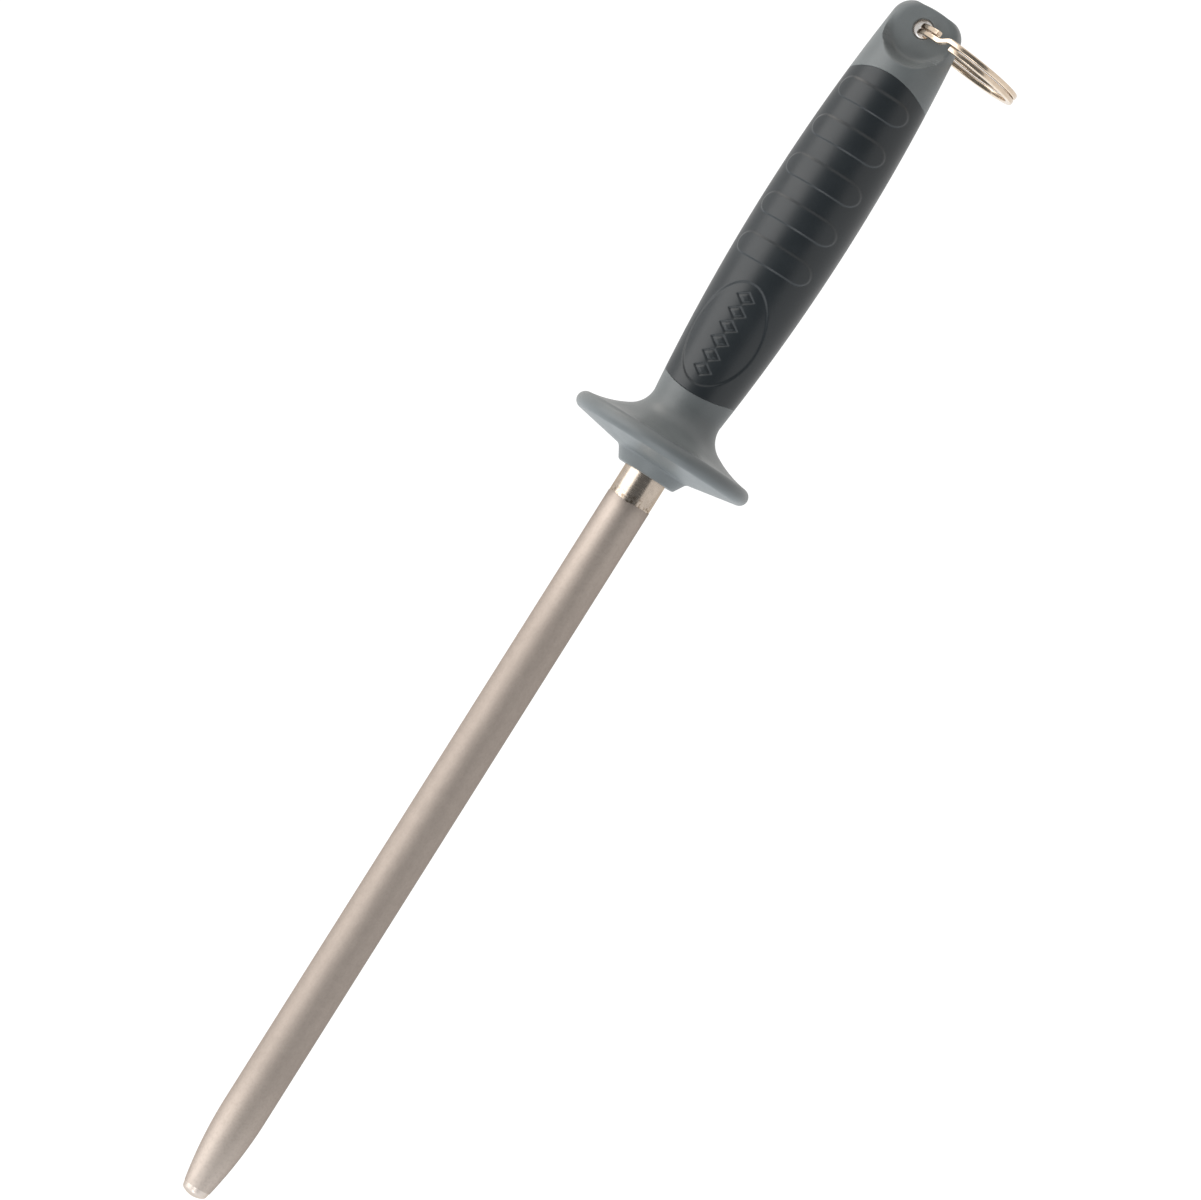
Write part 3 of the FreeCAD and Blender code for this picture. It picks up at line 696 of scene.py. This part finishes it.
# %% Liner
def make_liner():
    """A short tube along the hole: round the outside, over each mouth and back through the bore."""
    bore = 2.5
    lip = 0.12
    outline = rounded_corner((bore + 1, -LINER_HALF), (HOLE_RADIUS, -LINER_HALF), (HOLE_RADIUS, 0), lip, 5)
    outline += rounded_corner((HOLE_RADIUS, 0), (HOLE_RADIUS, LINER_HALF), (bore, LINER_HALF), lip, 5)
    outline += rounded_corner((HOLE_RADIUS, LINER_HALF), (bore, LINER_HALF), (bore, 0), lip, 5)
    outline += straight((bore, LINER_HALF - lip), (bore, lip - LINER_HALF), 10)[1:-1]
    outline += rounded_corner((bore, 0), (bore, -LINER_HALF), (HOLE_RADIUS, -LINER_HALF), lip, 5)
    mesh = lathe_mesh("hole_liner", lambda angle: outline, 96, closed=True)
    mesh.transform(Matrix.Translation((0, 0, HOLE_Z * MM)) @ Matrix.Rotation(math.radians(90), 4, "X"))
    piece = finish_mesh("hole_liner", mesh)
    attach(piece, "steel")
    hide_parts("lanyard_liner")
    return piece


hole_liner = make_liner()
print("liner:", len(hole_liner.data.polygons), "faces")

# %% Split ring
RING_RADIUS = 16.0
RING_OFFSET = 14.4
WIRE_WIDE = 1.8
WIRE_THICK = 1.5
TURN_PITCH = 1.7
WIRE_ROUND = 0.42
WIRE_CORNER_STEPS = 5
RING_STEPS = 520
# the cut ends are eased over this many degrees: (share of the way in, scale of the section)
WIRE_END_TURN = 0.35
WIRE_END_SHRINK = ((0.0, 0.62), (0.35, 0.88))
RING_DROOP = math.radians(5.8)
UPPER_END = 53.4
STEP_START = 58.0
STEP_END = 71.9
LOWER_END = 74.5


def wire_section(scale=1.0):
    """The wire's section as (outward, upward) offsets: a rectangle with well rounded corners."""
    points = []
    half_wide = WIRE_WIDE / 2
    half_thick = WIRE_THICK / 2
    for number, (outward, up) in enumerate(((1, 1), (-1, 1), (-1, -1), (1, -1))):
        for i in range(WIRE_CORNER_STEPS + 1):
            turn = math.pi / 2 * (number + i / WIRE_CORNER_STEPS)
            points.append((
                (outward * (half_wide - WIRE_ROUND) + WIRE_ROUND * math.cos(turn)) * scale,
                (up * (half_thick - WIRE_ROUND) + WIRE_ROUND * math.sin(turn)) * scale,
            ))
    return points


def ring_level(degrees):
    """Height of the wire's middle at an angle along its whole two-turn path."""
    return TURN_PITCH * (s_curve((degrees - 360 - STEP_START) / (STEP_END - STEP_START)) - 0.5)


def make_ring():
    """The wire swept along its path. Its section shrinks over the last third of a degree at each end."""
    mean = RING_RADIUS - WIRE_WIDE / 2
    start = LOWER_END
    end = 720 + UPPER_END
    nose = WIRE_END_TURN
    run = end - start - 2 * nose
    stations = [(start + nose * share, scale) for share, scale in WIRE_END_SHRINK]
    stations += [(start + nose + run * i / RING_STEPS, 1.0) for i in range(RING_STEPS + 1)]
    stations += [(end - nose * share, scale) for share, scale in WIRE_END_SHRINK[::-1]]
    bm = bmesh.new()
    rings = []
    for degrees, scale in stations:
        angle = math.radians(degrees)
        middle = ring_level(degrees)
        ring = []
        for outward, up in wire_section(scale):
            radius = mean + outward
            ring.append(bm.verts.new((
                (RING_OFFSET - radius * math.cos(angle)) * MM,
                -radius * math.sin(angle) * MM,
                (middle + up) * MM,
            )))
        rings.append(ring)
    count = len(rings[0])
    for here, there in zip(rings, rings[1:]):
        for i in range(count):
            j = (i + 1) % count
            bm.faces.new((here[i], here[j], there[j], there[i]))
    bm.faces.new(rings[0][::-1])
    bm.faces.new(rings[-1])
    bmesh.ops.recalc_face_normals(bm, faces=bm.faces)
    mesh = bpy.data.meshes.new("key_ring")
    bm.to_mesh(mesh)
    bm.free()
    mesh.transform(Matrix.Translation((0, 0, HOLE_Z * MM)) @ Matrix.Rotation(RING_DROOP, 4, "Y"))
    piece = finish_mesh("key_ring", mesh, 50)
    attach(piece, "ring")
    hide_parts("split_ring")
    return piece


key_ring = make_ring()
print("ring spans to", round(max(v.co.x for v in key_ring.data.vertices) / MM, 2), "mm")

# %% [markdown]
# ## Finishes
# Every finish starts from the same short recipe: a base colour, a roughness, and a grain. Grain is
# noise measured in real millimetres, because the object's own coordinates are metres. It does three
# things at once: it shifts the colour a little, it breaks up the gloss, and it raises a bump.

# %% Finish tools
class Finish:
    """A procedural material with a principled shader and a few helpers for grain."""

    def __init__(self, name, metallic=0.0, shine=0.5):
        self.material = bpy.data.materials.new(name)
        self.material.use_nodes = True
        self.tree = self.material.node_tree
        self.shader = self.tree.nodes["Principled BSDF"]
        self.shader.inputs["Metallic"].default_value = metallic
        self.shader.inputs["Specular IOR Level"].default_value = shine
        self.place = self.tree.nodes.new("ShaderNodeTexCoord").outputs["Object"]

    def node(self, kind, **inputs):
        """A new node. Each input is plugged in if it is a socket, or else set."""
        made = self.tree.nodes.new(kind)
        for name, value in inputs.items():
            socket = made.inputs[name.replace("_", " ")]
            if isinstance(value, bpy.types.NodeSocket):
                self.tree.links.new(value, socket)
            else:
                socket.default_value = value
        return made

    def stretched(self, x, y, z):
        """Coordinates squeezed or stretched along the three axes."""
        mapping = self.node("ShaderNodeMapping", Vector=self.place, Scale=(x, y, z))
        return mapping.outputs["Vector"]

    def noise(self, size_mm, detail=3.0, where=None):
        """Cloudy noise with features of about a given size."""
        place = where or self.place
        made = self.node("ShaderNodeTexNoise", Vector=place, Scale=1 / (size_mm * MM), Detail=detail)
        return made.outputs["Fac"]

    def between(self, factor, low_value, high_value, from_low=0.3, from_high=0.7):
        """A number that follows a noise between two values."""
        made = self.node("ShaderNodeMapRange", Value=factor)
        made.inputs["From Min"].default_value = from_low
        made.inputs["From Max"].default_value = from_high
        made.inputs["To Min"].default_value = low_value
        made.inputs["To Max"].default_value = high_value
        return made.outputs["Result"]

    def height(self):
        """Height along the object's axis, in metres."""
        made = self.tree.nodes.new("ShaderNodeSeparateXYZ")
        self.tree.links.new(self.place, made.inputs[0])
        return made.outputs["Z"]

    def sum(self, a, b):
        return self.combine("ADD", a, b)

    def times(self, a, b):
        return self.combine("MULTIPLY", a, b)

    def combine(self, operation, a, b):
        made = self.node("ShaderNodeMath")
        made.operation = operation
        self.tree.links.new(a, made.inputs[0])
        if isinstance(b, bpy.types.NodeSocket):
            self.tree.links.new(b, made.inputs[1])
        else:
            made.inputs[1].default_value = b
        return made.outputs[0]

    def tint(self, factor, colour_a, colour_b):
        """A colour that runs from one to another as a factor goes from 0 to 1."""
        made = self.tree.nodes.new("ShaderNodeMix")
        made.data_type = "RGBA"
        self.tree.links.new(factor, made.inputs["Factor"])
        for socket, colour in ((made.inputs[6], colour_a), (made.inputs[7], colour_b)):
            if isinstance(colour, bpy.types.NodeSocket):
                self.tree.links.new(colour, socket)
            else:
                socket.default_value = (*colour, 1)
        return made.outputs[2]

    def use(self, colour=None, roughness=None, height=None, height_mm=0.01, strength=1.0):
        """Plug the results into the shader."""
        if colour is not None:
            self.tree.links.new(colour, self.shader.inputs["Base Color"])
        if roughness is not None:
            self.tree.links.new(roughness, self.shader.inputs["Roughness"])
        if height is not None:
            bump = self.node("ShaderNodeBump", Height=height, Strength=strength, Distance=height_mm * MM)
            self.tree.links.new(bump.outputs["Normal"], self.shader.inputs["Normal"])
        return self.material


def shade(colour, factor):
    """A colour made lighter or darker."""
    return tuple(channel * factor for channel in colour)


def dress(piece, material):
    """Give a piece one finish all over."""
    piece.data.materials.clear()
    piece.data.materials.append(material)
    print(f"{piece.name} is finished in {material.name}")


# %% [markdown]
# ### Plated grit
# The abrasive is fine diamond grit held by a warm, matte nickel plate. Close up it sparkles faintly
# and is mottled where the plating is thicker. It is a rough metal: light spreads over it in a soft
# band instead of a sharp reflection.

# %% Grit finish
def grit_finish():
    """Sparkle, patches, lengthwise streaks and mottle, with painted highlights lightening both ends."""
    colour = (0.405, 0.35, 0.31)
    look = Finish("plated_grit", metallic=0.9)
    look.shader.inputs["Specular Tint"].default_value = (0.35, 0.32, 0.3, 1)
    fine = look.noise(0.16, 2.0)
    patch = look.noise(2.6, 4.0)
    streak = look.noise(0.9, 3.0, look.stretched(1, 1, 0.12))
    mixed = look.tint(look.between(fine, 0, 1), shade(colour, 0.86), shade(colour, 1.1))
    mixed = look.tint(look.between(patch, 0, 0.35), mixed, shade(colour, 0.78))
    mixed = look.tint(look.between(streak, 0, 0.2), mixed, shade(colour, 1.15))
    # the grit is smoother towards the point and by the collar, and its colour is lightened there: a painted
    # highlight at the point and a painted sheen by the collar
    height = look.height()
    point_gloss_and_highlight = look.between(height, 1, 0, (TIP + 6) * MM, (TIP + 42) * MM)
    collar_gloss_and_sheen = look.between(height, 0, 1, -50 * MM, -10 * MM)
    mottle = look.noise(0.7, 3.0)
    # painted highlight: the grit's colour lightened towards the point
    mixed = look.tint(look.times(point_gloss_and_highlight, 0.75), mixed, shade(colour, 1.25))
    # painted sheen: the grit's colour lightened by the collar
    mixed = look.tint(look.times(collar_gloss_and_sheen, 0.4), mixed, shade(colour, 1.12))
    mixed = look.tint(look.between(mottle, 0, 0.3, 0.45, 0.65), mixed, shade(colour, 0.8))
    rough = look.sum(look.between(fine, 0.6, 0.74), look.times(look.sum(point_gloss_and_highlight, collar_gloss_and_sheen), -0.14))
    return look.use(mixed, rough, fine, 0.02, 0.35)


dress(grit_layer, grit_finish())

# %% [markdown]
# ### Bare steel, ring and liner
# The bare band under the collar was turned bright before plating, so it carries hair-fine rings round
# the axis. The ring and the liner are nickel plated: nearly mirror bright, a touch warm, with faint
# scratches along the wire. The liner's colour is darkened well below the ring's, as painted shade for
# the inside of the hole.

# %% Bright metals
def bright_finish(name, colour, low_rough, high_rough, lines):
    """Bright plated metal. lines says how far its scratches are drawn out along x, y and z."""
    look = Finish(name, metallic=1.0)
    ring_marks = look.noise(0.12, 2.0, look.stretched(*lines))
    cloud = look.noise(1.8, 3.0)
    mixed = look.tint(look.between(cloud, 0, 1), shade(colour, 0.93), shade(colour, 1.05))
    rough = look.between(ring_marks, low_rough, high_rough)
    return look.use(mixed, rough, ring_marks, 0.003, 0.25)


def rod_steel_finish():
    """Bright under the collar with a few brown stains by the coat, satin on the worn nose."""
    colour = (0.52, 0.45, 0.385)
    look = Finish("turned_steel", metallic=1.0)
    look.shader.inputs["Specular Tint"].default_value = (0.75, 0.68, 0.6, 1)
    marks = look.noise(0.12, 2.0, look.stretched(0.05, 0.05, 1))
    cloud = look.noise(1.6, 4.0)
    stain = look.noise(0.8, 4.0)
    nose = look.between(look.height(), 1, 0, (TIP + 3.0) * MM, (TIP + 3.4) * MM)
    by_coat = look.between(look.height(), 1, 0, -7.6 * MM, -4.0 * MM)
    stained = look.times(look.between(stain, 0, 0.75, 0.5, 0.64), by_coat)
    mixed = look.tint(look.between(cloud, 0, 1), shade(colour, 0.88), shade(colour, 1.06))
    mixed = look.tint(stained, mixed, (0.17, 0.12, 0.075))
    mixed = look.tint(nose, mixed, (0.54, 0.47, 0.42))
    rough = look.sum(look.between(marks, 0.17, 0.3), look.times(nose, 0.1))
    return look.use(mixed, rough, marks, 0.003, 0.25)


dress(steel_rod, rod_steel_finish())
# painted shade: the liner's colour is darkened to stand for the shade inside the hole
dress(hole_liner, bright_finish(
    "liner_nickel_painted_shade", (0.34, 0.32, 0.30), low_rough=0.16, high_rough=0.3, lines=(1, 0.05, 1)))
dress(key_ring, bright_finish(
    "ring_nickel", (0.68, 0.56, 0.44), low_rough=0.14, high_rough=0.28, lines=(0.3, 0.3, 1)))

# %% [markdown]
# ### Hard plastic and soft grip
# Both are moulded in a tool with a fine, even, sand-blasted surface. The hard core is a cool mid grey
# with a satin gloss. The grip is a much darker, softer material with a little less shine. Handling
# leaves faint smears, which show as small changes of gloss and shade.

# %% Moulded plastics
def moulded_finish(name, colour, low_rough, high_rough, grain_mm, depth_mm, shine):
    """A blasted mould's even grain, under a faint cloud of handling."""
    look = Finish(name, shine=shine)
    grain = look.noise(grain_mm, 2.0)
    cloud = look.noise(7.0, 4.0)
    mixed = look.tint(look.between(cloud, 0, 1), shade(colour, 0.92), shade(colour, 1.07))
    mixed = look.tint(look.between(grain, 0, 0.5), mixed, shade(colour, 0.85))
    rough = look.sum(look.between(cloud, low_rough, high_rough), look.between(grain, -0.03, 0.03))
    return look.use(mixed, rough, grain, depth_mm, 0.3)


dress(handle_body, moulded_finish(
    "core_grey", (0.118, 0.130, 0.133), low_rough=0.36, high_rough=0.46,
    grain_mm=0.22, depth_mm=0.012, shine=0.48))
dress(soft_grip, moulded_finish(
    "grip_charcoal", (0.0125, 0.0165, 0.0195), low_rough=0.34, high_rough=0.41,
    grain_mm=0.18, depth_mm=0.012, shine=0.43))


def hidden_finish():
    """Plain drawn steel for the two pieces inside the handle."""
    look = Finish("drawn_steel", metallic=1.0)
    marks = look.noise(0.3, 2.0, look.stretched(1, 1, 0.05))
    mixed = look.tint(look.between(marks, 0, 1), (0.42, 0.42, 0.42), (0.55, 0.55, 0.54))
    return look.use(mixed, look.between(marks, 0.35, 0.5), marks, 0.01, 0.3)


inner_steel = hidden_finish()
for node in ("tang", "tang_pin"):
    dress(frame["nodes"][node], inner_steel)

# %% [markdown]
# ## The studio
# A white tent surrounds the object, so even its edges stay light. It is brightest underfoot and dims
# a little overhead. Three soft lights work inside it. A large one on the left draws the long bright
# band down the rod and the handle, a small one high on the left picks out the upper edges, and a low
# one in front fills the undersides. A dark panel stands between the object and the camera, and gives
# every round piece the dark streak down its middle. The panel and the lights are hidden from the
# camera, which sees a plain white ground in every view.

# %% Lights
def direction(degrees, lift=0.0):
    """A unit direction from the object: 0 is towards the camera, positive to the picture's right."""
    turn = math.radians(degrees)
    rise = math.radians(lift)
    level = math.cos(turn) * toward_camera + math.sin(turn) * aside
    return math.cos(rise) * level + math.sin(rise) * upward


def soft_light(name, degrees, lift, distance, width, height, watts, colour):
    """A rectangular soft light aimed at the object, hidden from the camera."""
    data = bpy.data.lights.new(name, "AREA")
    data.shape = "RECTANGLE"
    data.size = width
    data.size_y = height
    data.energy = watts
    data.color = colour
    lamp = bpy.data.objects.new(name, data)
    place = distance * direction(degrees, lift)
    lamp.location = place
    lamp.rotation_mode = "QUATERNION"
    lamp.rotation_quaternion = (-place).to_track_quat("-Z", "Y")
    lamp.visible_camera = False
    bpy.context.scene.collection.objects.link(lamp)
    print(f"{name}: {watts} W, {degrees} degrees round and {lift} degrees up")


LIGHT_DISTANCE = 1.7
soft_light(
    "left_softbox", degrees=-63, lift=2, distance=LIGHT_DISTANCE, width=1.75, height=2.2, watts=27.5,
    colour=(1.0, 0.985, 0.965))
soft_light(
    "upper_left_softbox", degrees=-95, lift=48, distance=LIGHT_DISTANCE, width=0.8, height=0.8, watts=7,
    colour=(1.0, 0.93, 0.86))
soft_light(
    "low_front_light", degrees=-8, lift=-45, distance=LIGHT_DISTANCE, width=0.55, height=1.2, watts=5.5,
    colour=(1.0, 1.0, 1.0))

# %% Tent and dark panel
# each band of the tent: its place between straight down (0) and straight up (1), colour and level
TENT_BANDS = (
    (0.3, (0.96, 1.0, 1.03), 1.42),
    (0.46, (1.0, 0.985, 0.97), 1.0),
    (0.54, (1.0, 0.985, 0.97), 1.0),
    (0.8, (1.0, 0.98, 0.96), 0.95),
)
GROUND_LEVEL = 1.1


def make_world():
    """A tent that is brightest underfoot and dims overhead, with a plain white ground for the camera."""
    world = bpy.data.worlds.new("white_tent")
    world.use_nodes = True
    tree = world.node_tree
    tent = tree.nodes["Background"]
    place = tree.nodes.new("ShaderNodeTexCoord")
    split = tree.nodes.new("ShaderNodeSeparateXYZ")
    tree.links.new(place.outputs["Generated"], split.inputs[0])
    ramp = tree.nodes.new("ShaderNodeValToRGB")
    stops = ramp.color_ramp.elements
    stops[0].position = TENT_BANDS[0][0]
    stops[1].position = TENT_BANDS[-1][0]
    for band in TENT_BANDS[1:-1]:
        stops.new(band[0])
    for stop, (_, colour, level) in zip(stops, TENT_BANDS):
        stop.color = (*shade(colour, level), 1)
    height = tree.nodes.new("ShaderNodeMapRange")
    height.inputs["From Min"].default_value = -1
    tree.links.new(split.outputs["Z"], height.inputs["Value"])
    tree.links.new(height.outputs["Result"], ramp.inputs["Fac"])
    tree.links.new(ramp.outputs["Color"], tent.inputs["Color"])
    ground = tree.nodes.new("ShaderNodeBackground")
    ground.inputs["Color"].default_value = (1, 1, 1, 1)
    ground.inputs["Strength"].default_value = GROUND_LEVEL
    mix = tree.nodes.new("ShaderNodeMixShader")
    tree.links.new(tree.nodes.new("ShaderNodeLightPath").outputs["Is Camera Ray"], mix.inputs[0])
    tree.links.new(tent.outputs[0], mix.inputs[1])
    tree.links.new(ground.outputs[0], mix.inputs[2])
    tree.links.new(mix.outputs[0], tree.nodes["World Output"].inputs["Surface"])
    bpy.context.scene.world = world


# the panel in metres, and its two sides as angles seen from the object, positive to the right
PANEL_DISTANCE = 1.2
PANEL_LEFT = math.radians(-27)
PANEL_RIGHT = math.radians(40)
PANEL_BOTTOM = -0.85
PANEL_TOP = 1.0


def cloth_finish(name, colour):
    """Plain cloth, clouded a little."""
    look = Finish(name)
    cloud = look.noise(300.0, 2.0)
    return look.use(look.tint(look.between(cloud, 0, 1), shade(colour, 0.97), colour))


def make_panel():
    """The dark panel in front of the object, hidden from the camera."""
    left = PANEL_DISTANCE * math.tan(PANEL_LEFT)
    right = PANEL_DISTANCE * math.tan(PANEL_RIGHT)
    middle = PANEL_DISTANCE * toward_camera
    sides = ((left, PANEL_BOTTOM), (right, PANEL_BOTTOM), (right, PANEL_TOP), (left, PANEL_TOP))
    corners = [middle + side * aside + rise * upward for side, rise in sides]
    mesh = bpy.data.meshes.new("dark_panel")
    mesh.from_pydata(corners, [], [(0, 1, 2, 3)])
    panel = bpy.data.objects.new("dark_panel", mesh)
    bpy.context.scene.collection.objects.link(panel)
    dress(panel, cloth_finish("dark_cloth", (0.10, 0.105, 0.11)))
    panel.visible_camera = False


make_world()
make_panel()
bpy.context.scene.view_settings.view_transform = "Standard"
